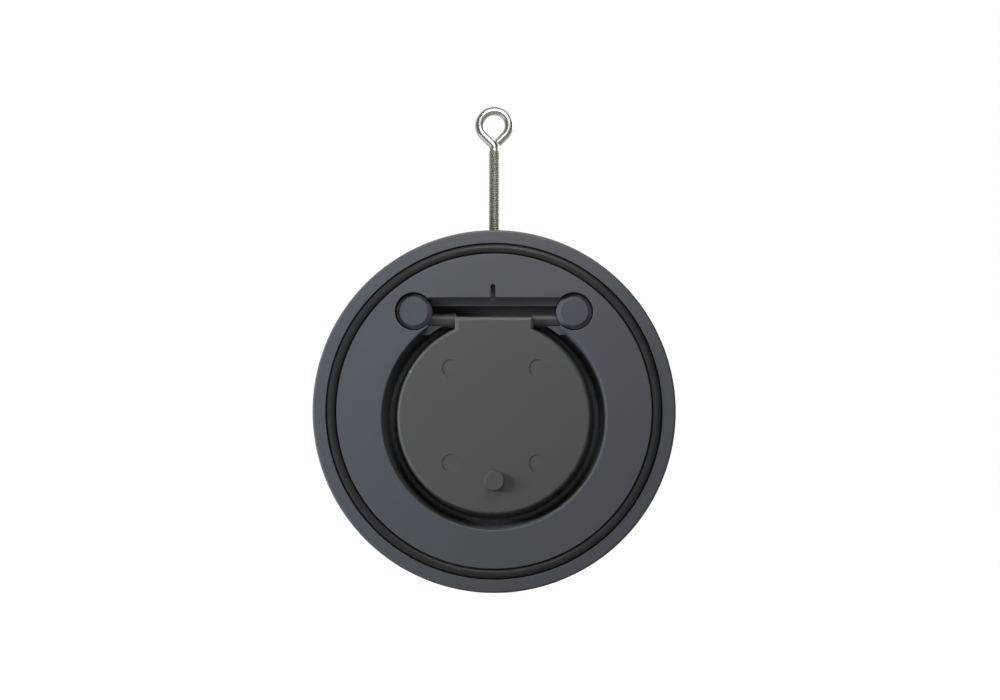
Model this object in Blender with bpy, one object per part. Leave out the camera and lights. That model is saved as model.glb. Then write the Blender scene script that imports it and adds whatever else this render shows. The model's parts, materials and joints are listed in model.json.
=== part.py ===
"""Wafer non-return valve for a 110 mm plastic pipeline, clamped between two DN100 flanges.

Metres, +Z up towards the lifting eye. The pipe axis is Y, and the outlet face looks towards -Y.
The origin is on the body's axis, halfway between its two sealing faces.
"""
import math

import bmesh
import bpy
from mathutils import Matrix, Vector

MM = 0.001

# Throat: the round recess that holds the disc, and the inlet bore behind its seat
RECESS_MOUTH_RADIUS = 50.2 * MM
RECESS_DRAFT = math.radians(11.0)
RECESS_DROP = 3.0 * MM
RECESS_MOUTH_CHAMFER = 0.5 * MM
RECESS_FILLET = 1.2 * MM
SEAT_WALL = 8.05 * MM
BORE_LEAD_IN = 1.6 * MM

# Disc: a thick moulded plate that hangs from its own neck and trunnions
DISC_WALL_GAP = 2.5 * MM
DISC_SETBACK = 0.4 * MM
DISC_DRAFT = math.radians(11.0)
DISC_FRONT_CHAMFER = 1.2 * MM
DISC_BACK_CHAMFER = 0.8 * MM
DISC_DISH_WALL = 9.0 * MM
DISC_DISH_DEPTH = 1.8 * MM
HINGE_BEHIND_FACE = 6.5 * MM
HINGE_BELOW_DISC_TOP = 1.5 * MM
NECK_WIDTH = 35.1 * MM
NECK_ABOVE_DISC = 0.1 * MM
NECK_ROUND = 2.0 * MM
NECK_INTO_DISC = 10.0 * MM
TRUNNION_RADIUS = 3.5 * MM
TRUNNION_CHAMFER = 0.5 * MM
TRUNNION_INTO_NECK = 0.3 * MM
TRUNNION_UNDER_CAP = 9.2 * MM
BOSS_RADIUS = 4.6 * MM
BOSS_TOP_RADIUS = 4.1 * MM
BOSS_HEIGHT = 2.6 * MM
BOSS_BELOW_CENTRE = 28.3 * MM
MARK_RADIUS = 4.0 * MM
MARK_DEPTH = 0.3 * MM
MARK_SIDE = 19.4 * MM
MARK_ABOVE_CENTRE = 21.9 * MM
MARK_BELOW_CENTRE = 20.4 * MM

# Disc seal: a rubber ring in a groove behind the disc, which closes on the seat
SEAL_CORD = 3.5 * MM
SEAL_PROUD = 0.9 * MM
SEAL_EDGE_WALL = 1.5 * MM
SEAL_SIDE_GAP = 0.3 * MM
SEAT_LAND = 1.6 * MM

# Hinge slot, bearing pockets and the caps that keep the trunnions in
HEEL_CLEARANCE = 0.35 * MM
SEAT_STEP = 0.2 * MM
SLOT_RISE = 10.2 * MM
SLOT_FLOOR_RISE = 5.5 * MM
SLOT_END_OVERLAP = 2.3 * MM
SHELF_DEPTH = 4.0 * MM
SHELF_DROP = 6.4 * MM
SHELF_TO_DISC = 2.2 * MM
TRUNNION_CLEARANCE = 0.3 * MM
POCKET_RADIUS = 8.5 * MM
POCKET_RISE = 3.9 * MM
POCKET_TO_RECESS_WALL = 0.7 * MM
POCKET_CHAMFER = 0.3 * MM
POCKET_UNDER_TRUNNION = 0.4 * MM
CAP_FIT = 0.5 * MM
CAP_PLATE = 0.9 * MM
CAP_LIP = 0.6 * MM
CAP_BOSS_SLOPE = 1.3 * MM
CAP_BOSS_HEIGHT = 1.2 * MM
SPRING_NOTCH_WIDTH = 2.2 * MM
SPRING_NOTCH_RISE = 5.9 * MM
SPRING_NOTCH_DEPTH = 4.0 * MM
SPRING_NOTCH_OFFSET = -0.6 * MM

# Face rings: one in a groove in each sealing face
POCKET_TO_GROOVE_WALL = 4.77 * MM
FACE_RING_CORD = 4.0 * MM
FACE_RING_PROUD = 0.7 * MM
FACE_RING_SIDE_GAP = 0.4 * MM
RIM_LAND = 5.9 * MM
RIM_ROUND = 1.0 * MM

# Lifting eyebolt, screwed into the rim
BOLT_RADIUS = 2.45 * MM
BOLT_HOLE_DEPTH = 12.0 * MM
BOLT_HOLE_CHAMFER = 0.5 * MM
EYE_WIRE_RADIUS = 1.95 * MM
EYE_RADIUS = 6.7 * MM
EYE_ABOVE_RIM = 49.0 * MM
EYE_BEND_RADIUS = 3.0 * MM
EYE_END_GAP = 0.25 * MM

# Clearance between pieces that touch on the real valve
FIT_GAP = 0.3 * MM

# Facets round each kind of shape, and along each kind of curve
BODY_SEGMENTS = 96
DISC_SEGMENTS = 96
CORD_SEGMENTS = 8
POCKET_SEGMENTS = 32
TROUGH_STEPS = 16
BAR_SEGMENTS = 24
WIRE_SEGMENTS = 14
EDGE_STEPS = 3
CURVE_STEPS = 6
LOOP_STEPS = 30
OVERSHOOT = 1.0 * MM

# Depths along the pipe, worked out from the outlet face inwards
hinge_depth = DISC_SETBACK + HINGE_BEHIND_FACE
trough_radius = HINGE_BEHIND_FACE + HEEL_CLEARANCE
seat_depth = hinge_depth + trough_radius + SEAT_STEP
body_thickness = seat_depth + SEAT_WALL
outlet_y = -body_thickness / 2
inlet_y = body_thickness / 2
hinge_y = outlet_y + hinge_depth
shelf_y = outlet_y + SHELF_DEPTH
seat_y = outlet_y + seat_depth
disc_back_y = seat_y - FIT_GAP - SEAL_PROUD

# Radii about the throat's axis
recess_base_radius = RECESS_MOUTH_RADIUS - seat_depth * math.tan(RECESS_DRAFT)
disc_radius = recess_base_radius - DISC_WALL_GAP
seal_groove_outer = disc_radius - SEAL_EDGE_WALL
seal_groove_inner = seal_groove_outer - SEAL_CORD - 2 * SEAL_SIDE_GAP
seal_radius = (seal_groove_outer + seal_groove_inner) / 2
bore_radius = seal_radius - SEAL_CORD / 2 - SEAT_LAND

# Places across the face
throat_z = -RECESS_DROP
hinge_z = throat_z + disc_radius - HINGE_BELOW_DISC_TOP
neck_side = NECK_WIDTH / 2
pocket_z = hinge_z + POCKET_RISE
pocket_reach = RECESS_MOUTH_RADIUS + POCKET_TO_RECESS_WALL + POCKET_RADIUS
pocket_x = math.sqrt(pocket_reach ** 2 - (pocket_z - throat_z) ** 2)
slot_half_length = pocket_x - POCKET_RADIUS + SLOT_END_OVERLAP
disc_centre_rise = throat_z - hinge_z
trunnion_end = pocket_x - POCKET_RADIUS + TRUNNION_UNDER_CAP
saddle_radius = TRUNNION_RADIUS + TRUNNION_CLEARANCE
pocket_floor_y = hinge_y + saddle_radius + POCKET_UNDER_TRUNNION

# Radii about the body's axis
face_groove_inner = math.hypot(pocket_x, pocket_z) + POCKET_RADIUS + POCKET_TO_GROOVE_WALL
face_groove_width = FACE_RING_CORD + 2 * FACE_RING_SIDE_GAP
face_groove_outer = face_groove_inner + face_groove_width
face_ring_radius = face_groove_inner + face_groove_width / 2
face_groove_depth = FACE_RING_CORD - FACE_RING_PROUD + FIT_GAP
body_radius = face_groove_outer + RIM_LAND


def clear_scene():
    for thing in list(bpy.data.objects):
        bpy.data.objects.remove(thing, do_unlink=True)


def material(name, colour, roughness, metallic):
    made = bpy.data.materials.new(name)
    made.use_nodes = True
    shader = made.node_tree.nodes["Principled BSDF"]
    shader.inputs["Base Color"].default_value = (*colour, 1.0)
    shader.inputs["Roughness"].default_value = roughness
    shader.inputs["Metallic"].default_value = metallic
    return made


def grey_pvc(name):
    return material(name, (0.085, 0.092, 0.105), 0.42, 0.0)


def black_rubber(name):
    return material(name, (0.016, 0.017, 0.019), 0.6, 0.0)


def zinc_plated_steel(name):
    return material(name, (0.62, 0.61, 0.56), 0.32, 1.0)


def to_mesh(shape, name):
    """Closes any open ends of a bmesh, points its faces outwards and returns it as a mesh."""
    bmesh.ops.remove_doubles(shape, verts=shape.verts, dist=1e-7)
    bmesh.ops.holes_fill(shape, edges=shape.edges, sides=0)
    bmesh.ops.recalc_face_normals(shape, faces=shape.faces)
    mesh = bpy.data.meshes.new(name)
    shape.to_mesh(mesh)
    shape.free()
    return mesh


def turned(name, profile, segments, closed=False):
    """Turns (radius, y) points about the Y axis; an open profile gets flat round ends."""
    shape = bmesh.new()
    corners = [shape.verts.new((radius, y, 0.0)) for radius, y in profile]
    ends = corners[1:] + corners[:1] if closed else corners[1:]
    edges = [shape.edges.new(pair) for pair in zip(corners, ends)]
    bmesh.ops.spin(
        shape, geom=corners + edges, cent=(0, 0, 0), axis=(0, 1, 0),
        angle=math.tau, steps=segments, use_merge=True,
    )
    return to_mesh(shape, name)


def extruded(name, outline, direction):
    """Pushes a flat outline of 3-D points along a direction into a closed prism."""
    shape = bmesh.new()
    face = shape.faces.new([shape.verts.new(point) for point in outline])
    grown = bmesh.ops.extrude_face_region(shape, geom=[face])
    moved = [item for item in grown["geom"] if isinstance(item, bmesh.types.BMVert)]
    bmesh.ops.translate(shape, verts=moved, vec=direction)
    return to_mesh(shape, name)


def swept(name, path, radii, side, segments):
    """Sweeps a round section along a flat path; side is the path plane's normal."""
    shape = bmesh.new()
    rings = []
    for index, centre in enumerate(path):
        before = path[max(index - 1, 0)]
        after = path[min(index + 1, len(path) - 1)]
        across = (after - before).normalized().cross(side)
        ring = []
        for step in range(segments):
            angle = math.tau * step / segments
            offset = across * math.cos(angle) + side * math.sin(angle)
            ring.append(shape.verts.new(centre + offset * radii[index]))
        rings.append(ring)
    for low, high in zip(rings, rings[1:]):
        for step in range(segments):
            following = (step + 1) % segments
            shape.faces.new((low[step], low[following], high[following], high[step]))
    return to_mesh(shape, name)


def arc(centre, radius, start, end, steps):
    """Points of an arc in a 2-D plane, from one angle to another, both ends included."""
    return [
        (
            centre[0] + radius * math.cos(start + (end - start) * step / steps),
            centre[1] + radius * math.sin(start + (end - start) * step / steps),
        )
        for step in range(steps + 1)
    ]


def place(mesh, offset):
    mesh.transform(Matrix.Translation(offset))
    return mesh


def combined(mesh, tools, operation):
    """Cuts or joins tool meshes into a mesh, one exact Boolean each, and returns the result."""
    work = bpy.data.objects.new("work", mesh)
    bpy.context.scene.collection.objects.link(work)
    helpers = []
    for tool in tools:
        helper = bpy.data.objects.new("helper", tool)
        helper.hide_render = True
        helper.display_type = "WIRE"
        bpy.context.scene.collection.objects.link(helper)
        boolean = work.modifiers.new("boolean", "BOOLEAN")
        boolean.operation = operation
        boolean.solver = "EXACT"
        boolean.object = helper
        helpers.append(helper)
    bpy.context.view_layer.update()
    evaluated = work.evaluated_get(bpy.context.evaluated_depsgraph_get())
    result = bpy.data.meshes.new_from_object(evaluated)
    for thing in helpers + [work]:
        bpy.data.objects.remove(thing, do_unlink=True)
    return result


def add_piece(name, mesh, finish, location, parent=None):
    """Puts a finished mesh in the scene as one named piece at a place in the valve's frame."""
    mesh.name = name
    mesh.materials.clear()
    mesh.materials.append(finish(name))
    mesh.shade_smooth()
    mesh.set_sharp_from_angle(angle=math.radians(32.0))
    piece = bpy.data.objects.new(name, mesh)
    bpy.context.scene.collection.objects.link(piece)
    piece.location = location
    if parent is not None:
        piece.parent = parent
        piece.location = Vector(location) - parent.location
    return piece


def add_empty(name, location):
    empty = bpy.data.objects.new(name, None)
    empty.location = location
    bpy.context.scene.collection.objects.link(empty)
    return empty


def body_blank():
    """The turned blank: a round-edged wheel of plastic with a ring groove in each face."""
    outlet_floor = outlet_y + face_groove_depth
    inlet_floor = inlet_y - face_groove_depth
    inner_edge = body_radius - RIM_ROUND
    outlet_round = arc((inner_edge, outlet_y + RIM_ROUND), RIM_ROUND, -math.pi / 2, 0.0, EDGE_STEPS)
    inlet_round = arc((inner_edge, inlet_y - RIM_ROUND), RIM_ROUND, 0.0, math.pi / 2, EDGE_STEPS)
    profile = [
        (face_groove_inner, outlet_y),
        (face_groove_inner, outlet_floor),
        (face_groove_outer, outlet_floor),
        (face_groove_outer, outlet_y),
        *outlet_round,
        *inlet_round,
        (face_groove_outer, inlet_y),
        (face_groove_outer, inlet_floor),
        (face_groove_inner, inlet_floor),
        (face_groove_inner, inlet_y),
    ]
    return turned("body_blank", profile, BODY_SEGMENTS)


def throat_cutter():
    """Recess, seat floor and inlet bore, all turned about the throat's own axis."""
    widening = math.tan(RECESS_DRAFT)
    chamfer_y = outlet_y + RECESS_MOUTH_CHAMFER
    fillet_y = seat_y - RECESS_FILLET
    fillet_centre = (recess_base_radius - RECESS_FILLET, fillet_y)
    lead_in_y = inlet_y - BORE_LEAD_IN
    profile = [
        (RECESS_MOUTH_RADIUS + RECESS_MOUTH_CHAMFER + OVERSHOOT, outlet_y - OVERSHOOT),
        (RECESS_MOUTH_RADIUS - widening * RECESS_MOUTH_CHAMFER, chamfer_y),
        *arc(fillet_centre, RECESS_FILLET, 0.0, math.pi / 2, EDGE_STEPS),
        (bore_radius, seat_y),
        (bore_radius, lead_in_y),
        (bore_radius + BORE_LEAD_IN + OVERSHOOT, inlet_y + OVERSHOOT),
    ]
    return place(turned("throat_cutter", profile, BODY_SEGMENTS), (0, 0, throat_z))


def hinge_block():
    """What stands in the recess at the hinge: a shelf under each trunnion and the wall behind."""
    inner_radius = disc_radius + SHELF_TO_DISC
    low = hinge_z - SHELF_DROP
    upper_angle = math.asin((hinge_z - throat_z) / inner_radius)
    lower_angle = math.asin((low - throat_z) / inner_radius)
    right = [
        *arc((0.0, throat_z), inner_radius, upper_angle, lower_angle, CURVE_STEPS),
        (pocket_x, low),
        (pocket_x, hinge_z + SLOT_RISE),
    ]
    left = [(-x, z) for x, z in reversed(right)]
    outline = [(x, shelf_y, z) for x, z in right + left]
    return extruded("hinge_block", outline, (0, seat_y + OVERSHOOT - shelf_y, 0))


def slot_cutter():
    """Straight slot between the pockets: coved above the hinge, and as deep as the shelves below."""
    cove_rise = SLOT_RISE - SLOT_FLOOR_RISE
    cove = []
    for step in range(CURVE_STEPS + 1):
        angle = math.pi / 2 * step / CURVE_STEPS
        along = outlet_y + hinge_depth * math.sin(angle)
        cove.append((along, hinge_z + SLOT_FLOOR_RISE + cove_rise * math.cos(angle)))
    section = [
        (shelf_y, hinge_z - SHELF_DROP),
        (outlet_y - OVERSHOOT, hinge_z - SHELF_DROP),
        (outlet_y - OVERSHOOT, hinge_z + SLOT_RISE),
        *cove,
        (hinge_y, hinge_z),
        (shelf_y, hinge_z),
    ]
    outline = [(-slot_half_length, y, z) for y, z in section]
    return extruded("slot_cutter", outline, (2 * slot_half_length, 0, 0))


def trough_cutter():
    """Half-round trough along the slot, in which the neck's heel turns."""
    section = arc((hinge_y, hinge_z), trough_radius, 0.0, math.pi, TROUGH_STEPS)
    outline = [(-slot_half_length, y, z) for y, z in section]
    return extruded("trough_cutter", outline, (2 * slot_half_length, 0, 0))


def crossbar(name, radius, half_length, segments):
    """A round bar along X, centred on the origin, with no edge in the plane y = 0."""
    shape = bmesh.new()
    turn = Matrix.Rotation(math.pi / 2, 4, "Y") @ Matrix.Rotation(math.pi / segments, 4, "Z")
    bmesh.ops.create_cone(
        shape, cap_ends=True, segments=segments, radius1=radius, radius2=radius,
        depth=2 * half_length, matrix=turn,
    )
    return to_mesh(shape, name)


def pocket_cutter(side):
    """Round bearing pocket at one end of the slot, with a small chamfer at its mouth."""
    profile = [
        (POCKET_RADIUS + POCKET_CHAMFER + OVERSHOOT, outlet_y - OVERSHOOT),
        (POCKET_RADIUS, outlet_y + POCKET_CHAMFER),
        (POCKET_RADIUS, pocket_floor_y),
    ]
    return place(turned("pocket_cutter", profile, POCKET_SEGMENTS), (side * pocket_x, 0, pocket_z))


def spring_notch_cutter():
    """Narrow round-topped notch above the slot, for the leg of a closing spring."""
    half = SPRING_NOTCH_WIDTH / 2
    foot = hinge_z + SLOT_RISE - OVERSHOOT
    top = hinge_z + SLOT_RISE + SPRING_NOTCH_RISE - half
    section = [
        (SPRING_NOTCH_OFFSET - half, foot),
        (SPRING_NOTCH_OFFSET + half, foot),
        *arc((SPRING_NOTCH_OFFSET, top), half, 0.0, math.pi, CURVE_STEPS),
    ]
    outline = [(x, outlet_y - OVERSHOOT, z) for x, z in section]
    return extruded("spring_notch_cutter", outline, (0, OVERSHOOT + SPRING_NOTCH_DEPTH, 0))


def bolt_hole_cutter():
    """Blind hole in the top of the rim for the eyebolt, turned about Z."""
    hole_radius = BOLT_RADIUS + FIT_GAP
    profile = [
        (hole_radius, body_radius - BOLT_HOLE_DEPTH),
        (hole_radius, body_radius - BOLT_HOLE_CHAMFER),
        (hole_radius + BOLT_HOLE_CHAMFER + OVERSHOOT, body_radius + OVERSHOOT),
    ]
    mesh = turned("bolt_hole_cutter", profile, BAR_SEGMENTS)
    mesh.transform(Matrix.Rotation(math.pi / 2, 4, "X"))
    return mesh


def make_body():
    wheel = combined(body_blank(), [throat_cutter()], "DIFFERENCE")
    with_shelves = combined(wheel, [hinge_block()], "UNION")
    saddle = crossbar("saddle", saddle_radius, pocket_x, BAR_SEGMENTS)
    cutters = [
        slot_cutter(),
        place(saddle, (0, hinge_y, hinge_z)),
        trough_cutter(),
        pocket_cutter(-1),
        pocket_cutter(1),
        spring_notch_cutter(),
        bolt_hole_cutter(),
    ]
    mesh = combined(with_shelves, cutters, "DIFFERENCE")
    return add_piece("valve_body", mesh, grey_pvc, (0, 0, 0))


def disc_plate():
    """The turned plate with its drafted side, with the depths counted from the hinge."""
    front = -HINGE_BEHIND_FACE
    back = disc_back_y - hinge_y
    side_depth = back - DISC_BACK_CHAMFER - front - DISC_FRONT_CHAMFER
    front_radius = disc_radius - side_depth * math.tan(DISC_DRAFT)
    profile = [
        (front_radius - DISC_FRONT_CHAMFER, front),
        (front_radius, front + DISC_FRONT_CHAMFER),
        (disc_radius, back - DISC_BACK_CHAMFER),
        (disc_radius - DISC_BACK_CHAMFER, back),
    ]
    return turned("disc_plate", profile, DISC_SEGMENTS)


def seal_groove_cutter():
    """The ring groove in the back of the disc, a little deeper than the seal's seat in it."""
    back = disc_back_y - hinge_y
    floor = back + SEAL_PROUD - SEAL_CORD - FIT_GAP
    profile = [
        (seal_groove_outer, floor),
        (seal_groove_outer, back + OVERSHOOT),
        (seal_groove_inner, back + OVERSHOOT),
        (seal_groove_inner, floor),
    ]
    return turned("seal_groove_cutter", profile, DISC_SEGMENTS, closed=True)


def dish_cutter():
    """The shallow dish that lightens the back of the disc."""
    back = disc_back_y - hinge_y
    dish_radius = seal_groove_inner - DISC_DISH_WALL
    profile = [
        (dish_radius - 2 * DISC_DISH_DEPTH, back - DISC_DISH_DEPTH),
        (dish_radius + 2 * OVERSHOOT, back + OVERSHOOT),
    ]
    return turned("dish_cutter", profile, DISC_SEGMENTS)


def neck_block():
    """The neck, flush with the disc's face and back, and rounded along its front edges."""
    front = -HINGE_BEHIND_FACE
    back = disc_back_y - hinge_y
    top = HINGE_BELOW_DISC_TOP + NECK_ABOVE_DISC
    outline = [
        (-neck_side, -NECK_INTO_DISC),
        (-neck_side, top),
        (neck_side, top),
        (neck_side, -NECK_INTO_DISC),
    ]
    shape = bmesh.new()
    corners = [shape.verts.new((x, front, z)) for x, z in outline]
    face = shape.faces.new(corners)
    grown = bmesh.ops.extrude_face_region(shape, geom=[face])
    moved = [item for item in grown["geom"] if isinstance(item, bmesh.types.BMVert)]
    bmesh.ops.translate(shape, verts=moved, vec=(0, back - front, 0))
    front_edges = []
    for edge in shape.edges:
        in_front = all(corner in corners for corner in edge.verts)
        if in_front and max(corner.co.z for corner in edge.verts) > 0.0:
            front_edges.append(edge)
    bmesh.ops.recalc_face_normals(shape, faces=shape.faces)
    bmesh.ops.bevel(
        shape, geom=front_edges, offset=NECK_ROUND, segments=EDGE_STEPS, profile=0.5, affect="EDGES",
    )
    return to_mesh(shape, "neck_block")


def trunnion(side):
    """One trunnion: a round stub that starts just inside the neck's side."""
    profile = [
        (TRUNNION_RADIUS, side * (neck_side - TRUNNION_INTO_NECK)),
        (TRUNNION_RADIUS, side * (trunnion_end - TRUNNION_CHAMFER)),
        (TRUNNION_RADIUS - TRUNNION_CHAMFER, side * trunnion_end),
    ]
    mesh = turned("trunnion", profile, BAR_SEGMENTS)
    turn = Matrix.Rotation(-math.pi / 2, 4, "Z") @ Matrix.Rotation(math.pi / BAR_SEGMENTS, 4, "Y")
    mesh.transform(turn)
    return mesh


def face_stud(name, radius, top_radius, low, high):
    """A short round stud or cutter along Y, narrower at its outlet end."""
    return turned(name, [(top_radius, low), (radius, high)], BAR_SEGMENTS)


def make_disc(hinge):
    centre = (0, 0, disc_centre_rise)
    front = -HINGE_BEHIND_FACE
    plate = place(disc_plate(), centre)
    boss = face_stud("boss", BOSS_RADIUS, BOSS_TOP_RADIUS, front - BOSS_HEIGHT, front + OVERSHOOT)
    place(boss, (0, 0, disc_centre_rise - BOSS_BELOW_CENTRE))
    joined = combined(plate, [neck_block(), trunnion(-1), trunnion(1), boss], "UNION")
    cuts = [place(seal_groove_cutter(), centre), place(dish_cutter(), centre)]
    for side in (-1, 1):
        for rise in (MARK_ABOVE_CENTRE, -MARK_BELOW_CENTRE):
            mark = face_stud("mark", MARK_RADIUS, MARK_RADIUS, front - OVERSHOOT, front + MARK_DEPTH)
            cuts.append(place(mark, (side * MARK_SIDE, 0, disc_centre_rise + rise)))
    mesh = combined(joined, cuts, "DIFFERENCE")
    return add_piece("clapper_disc", mesh, grey_pvc, hinge.location, hinge)


def ring_mesh(name, radius, cord, segments):
    """A rubber ring of round cord about the Y axis."""
    profile = arc((radius, 0.0), cord / 2, 0.0, math.tau * (1 - 1 / CORD_SEGMENTS), CORD_SEGMENTS - 1)
    return turned(name, profile, segments, closed=True)


def make_disc_seal(hinge):
    centre_y = disc_back_y + SEAL_PROUD - SEAL_CORD / 2
    mesh = ring_mesh("disc_seal_ring", seal_radius, SEAL_CORD, DISC_SEGMENTS)
    return add_piece("disc_seal_ring", mesh, black_rubber, (0, centre_y, throat_z), hinge)


def make_face_ring(name, face_y, outward):
    centre_y = face_y + outward * (FACE_RING_PROUD - FACE_RING_CORD / 2)
    mesh = ring_mesh(name, face_ring_radius, FACE_RING_CORD, BODY_SEGMENTS)
    return add_piece(name, mesh, black_rubber, (0, centre_y, 0))


def make_hinge_cap(name, side):
    """Push-in cap: a plug with a low round boss on its face, arched over the trunnion."""
    plug_radius = POCKET_RADIUS - CAP_FIT
    rim_y = -saddle_radius - CAP_PLATE
    foot_y = pocket_floor_y - hinge_y - FIT_GAP
    boss_radius = plug_radius - CAP_LIP
    profile = [
        (boss_radius - CAP_BOSS_SLOPE, rim_y - CAP_BOSS_HEIGHT),
        (boss_radius, rim_y),
        (plug_radius - CAP_LIP / 2, rim_y),
        (plug_radius, rim_y + CAP_LIP / 2),
        (plug_radius, foot_y),
    ]
    plug = turned(name, profile, POCKET_SEGMENTS)
    reach = plug_radius + OVERSHOOT
    arch_top = -POCKET_RISE
    section = [
        (foot_y + OVERSHOOT, -reach),
        (-saddle_radius, -reach),
        *[(y, arch_top + z) for y, z in arc((0, 0), saddle_radius, math.pi, math.pi / 2, CURVE_STEPS)],
        (foot_y + OVERSHOOT, arch_top + saddle_radius),
    ]
    outline = [(-reach, y, z) for y, z in section]
    arch = extruded("arch", outline, (2 * reach, 0, 0))
    mesh = combined(plug, [arch], "DIFFERENCE")
    return add_piece(name, mesh, grey_pvc, (side * pocket_x, hinge_y, pocket_z))


def eyebolt_path():
    """Centre line of the bent wire in the XZ plane, and the wire's radius at each point."""
    slant = math.pi / 4
    tangent = EYE_RADIUS * math.cos(slant)
    corner = -2 * tangent
    bend_reach = EYE_BEND_RADIUS * math.tan(slant / 2)
    bend_start = corner - bend_reach
    bend = [
        (x - EYE_BEND_RADIUS, z + bend_start)
        for x, z in arc((0, 0), EYE_BEND_RADIUS, 0.0, slant, EDGE_STEPS)
    ]
    loop = arc((0, 0), EYE_RADIUS, math.pi + slant, -slant, LOOP_STEPS)
    end_slide = (2 * tangent - (EYE_WIRE_RADIUS + EYE_END_GAP) / math.cos(slant)) / 2
    end = (tangent - end_slide, -tangent - end_slide)
    shank_foot = FIT_GAP - BOLT_HOLE_DEPTH - EYE_ABOVE_RIM
    points = [(0.0, shank_foot), (0.0, shank_foot + BOLT_HOLE_CHAMFER), *bend, *loop, end]
    narrow_from = 2 + len(bend)
    radii = []
    for index in range(len(points)):
        blend = min(max((index - 2) / (narrow_from - 2), 0.0), 1.0)
        radii.append(BOLT_RADIUS + (EYE_WIRE_RADIUS - BOLT_RADIUS) * blend)
    radii[0] = BOLT_RADIUS - BOLT_HOLE_CHAMFER
    return [Vector((x, 0, z)) for x, z in points], radii


def make_eyebolt():
    path, radii = eyebolt_path()
    mesh = swept("lifting_eyebolt", path, radii, Vector((0, 1, 0)), WIRE_SEGMENTS)
    return add_piece("lifting_eyebolt", mesh, zinc_plated_steel, (0, 0, body_radius + EYE_ABOVE_RIM))


clear_scene()
disc_hinge = add_empty("disc_hinge", (0, hinge_y, hinge_z))
make_body()
make_disc(disc_hinge)
make_disc_seal(disc_hinge)
make_face_ring("outlet_face_ring", outlet_y, -1)
make_face_ring("inlet_face_ring", inlet_y, 1)
make_hinge_cap("hinge_cap_left", -1)
make_hinge_cap("hinge_cap_right", 1)
make_eyebolt()
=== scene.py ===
"""Looks of a wafer non-return valve: a grey plastic wheel with a hinged disc, seals and an eyebolt.

Blender 4.5, metres, +Z up towards the lifting eye. The pipe axis is Y and the outlet face looks
towards -Y. The file follows the valve as it is put together, one section for each kind of piece.
"""
import json
import math

import bmesh
import bpy
from mathutils import Matrix, Vector


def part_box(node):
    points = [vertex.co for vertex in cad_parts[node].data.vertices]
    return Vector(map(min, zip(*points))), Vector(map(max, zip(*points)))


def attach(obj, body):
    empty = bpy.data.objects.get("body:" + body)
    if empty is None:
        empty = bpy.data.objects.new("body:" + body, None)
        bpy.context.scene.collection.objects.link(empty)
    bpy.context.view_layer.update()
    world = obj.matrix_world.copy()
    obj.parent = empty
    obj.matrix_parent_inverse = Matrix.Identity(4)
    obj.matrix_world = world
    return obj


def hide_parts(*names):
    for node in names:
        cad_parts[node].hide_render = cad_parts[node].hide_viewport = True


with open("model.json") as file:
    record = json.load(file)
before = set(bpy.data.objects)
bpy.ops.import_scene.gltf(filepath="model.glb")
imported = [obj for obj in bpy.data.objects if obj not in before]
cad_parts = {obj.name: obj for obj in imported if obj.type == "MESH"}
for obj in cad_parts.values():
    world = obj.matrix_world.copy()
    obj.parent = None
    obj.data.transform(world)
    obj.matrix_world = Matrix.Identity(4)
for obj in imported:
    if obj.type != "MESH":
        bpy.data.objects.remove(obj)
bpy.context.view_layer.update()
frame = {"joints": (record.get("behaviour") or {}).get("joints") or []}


# Camera
# The valve is seen square on to its outlet face, from about a metre away and a little below its
# own middle, so that the seat side of the recess shows more at the top than at the foot.
CAMERA_PLACE = Vector((0.0026, -1.111, -0.060))
CAMERA_AIM = Vector((0.0026, -0.011, 0.0270))
CAMERA_LENS = 89.0

camera = bpy.data.objects.new("camera", bpy.data.cameras.new("camera"))
camera.data.lens = CAMERA_LENS
camera.location = CAMERA_PLACE
camera.rotation_euler = (CAMERA_AIM - CAMERA_PLACE).to_track_quat("-Z", "Y").to_euler()
bpy.context.scene.collection.objects.link(camera)
bpy.context.scene.camera = camera


# Valve body
# One thick wheel of grey PVC, moulded and then faced: a ring groove in each sealing face, a drafted
# recess for the disc, the inlet bore behind its seat, and a slot between two bearing pockets.
MM = 0.001
WHEEL_SEGMENTS = 288
POCKET_SEGMENTS = 96
BAR_SEGMENTS = 64
ARC_STEPS = 8
OVERSHOOT = 1.0 * MM
FIT_GAP = 0.3 * MM
RIM_ROUND = 1.0 * MM
GROOVE_LIP_ROUND = 0.3 * MM
GROOVE_SIDE_GAP = 0.4 * MM
RECESS_MOUTH_RADIUS = 50.2 * MM
RECESS_MOUTH_ROUND = 0.6 * MM
RECESS_DRAFT = math.radians(11.0)
RECESS_FILLET = 1.2 * MM
SEAT_WALL = 8.05 * MM
BORE_RADIUS = 38.088 * MM
BORE_LEAD_IN = 1.6 * MM
WALL_SUPPORT = 0.5 * MM
HINGE_BEHIND_FACE = 6.5 * MM
HEEL_CLEARANCE = 0.35 * MM
TRUNNION_RADIUS = 3.5 * MM
TRUNNION_CLEARANCE = 0.3 * MM
SLOT_RISE = 10.2 * MM
SLOT_FLOOR_RISE = 5.5 * MM
SLOT_END_OVERLAP = 2.3 * MM
SHELF_DEPTH = 4.0 * MM
SHELF_DROP = 6.4 * MM
SHELF_TO_DISC = 2.2 * MM
CAP_FIT = 0.5 * MM
POCKET_UNDER_CAP = 0.3 * MM
POCKET_CHAMFER = 0.3 * MM
SPRING_NOTCH_WIDTH = 2.2 * MM
SPRING_NOTCH_RISE = 5.9 * MM
SPRING_NOTCH_DEPTH = 4.0 * MM
SPRING_NOTCH_OFFSET = -0.6 * MM
BOLT_RADIUS = 2.45 * MM
BOLT_HOLE_DEPTH = 12.0 * MM
BOLT_HOLE_CHAMFER = 0.5 * MM
BODY_EDGE_ROUND = 0.22 * MM
MOUTH_START = math.pi * 1.4
MOUTH_STEPS = 4
EDGE_ROUND_STEPS = 2
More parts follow.
